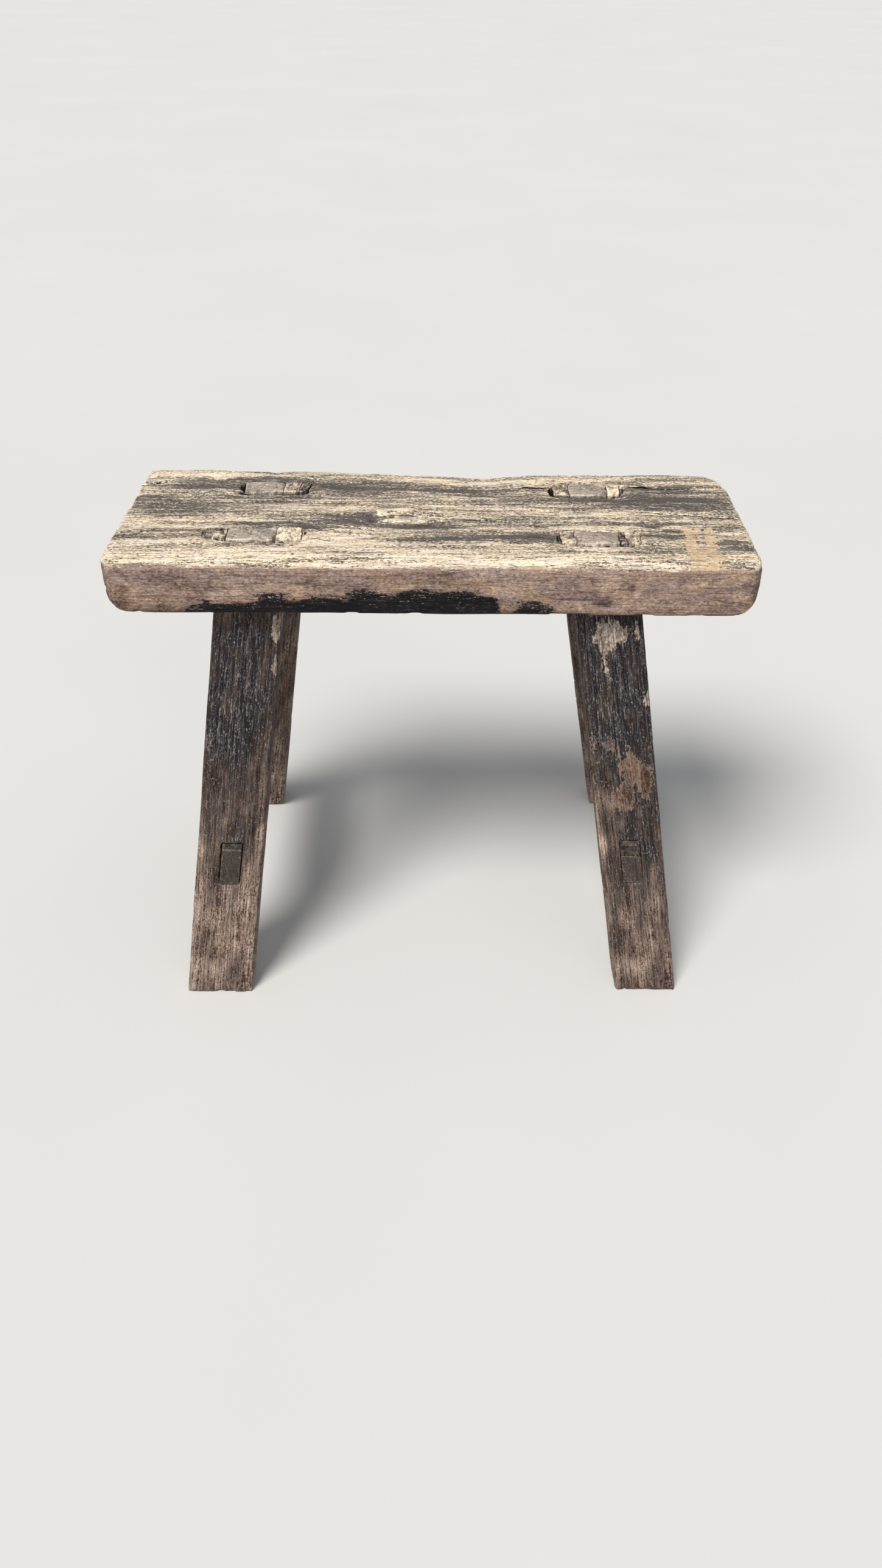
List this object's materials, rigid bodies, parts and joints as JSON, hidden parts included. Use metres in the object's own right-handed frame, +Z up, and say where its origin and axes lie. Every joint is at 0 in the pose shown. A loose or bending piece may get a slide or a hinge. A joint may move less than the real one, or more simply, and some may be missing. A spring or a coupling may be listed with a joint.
{
  "type": "milking stool",
  "caption": "Small low wooden stool: a thick rounded plank seat on splayed square legs, joined by wedged through tenons and side stretchers.",
  "frame": {"origin": "on the ground under the middle of the stool's box", "axes": "+X along the seat, to the right seen from the front; +Y from front to back; +Z up"},
  "size_m": [0.3045, 0.1884, 0.2345],
  "materials": {
    "seat_wood": "dark grey paint worn through to bare honey-coloured wood, with tarry black along the lower edge",
    "leg_wood": "black paint and grime worn to brown bare wood towards the feet",
    "stretcher_wood": "aged dark brown bare wood with dark end grain",
    "wedge_wood": "weathered grey-brown wood with crushed ends"
  },
  "bodies": {
    "root": {"seat_plank": "seat_wood", "leg_front_left": "leg_wood", "leg_front_right": "leg_wood", "leg_back_left": "leg_wood", "leg_back_right": "leg_wood", "stretcher_left": "stretcher_wood", "stretcher_right": "stretcher_wood", "seat_wedge_front_left_outer": "wedge_wood", "seat_wedge_front_left_inner": "wedge_wood", "seat_wedge_front_right_inner": "wedge_wood", "seat_shim_front_right": "wedge_wood", "seat_wedge_front_right_outer": "wedge_wood", "seat_wedge_back_left_inner": "wedge_wood", "seat_shim_back_left": "wedge_wood", "seat_wedge_back_right_inner": "wedge_wood", "seat_wedge_back_right_outer": "wedge_wood", "stretcher_wedge_front_left": "wedge_wood", "stretcher_wedge_back_left": "wedge_wood", "stretcher_shim_front_right": "wedge_wood", "stretcher_wedge_front_right": "wedge_wood", "stretcher_wedge_back_right": "wedge_wood"}
  },
  "joints": []
}
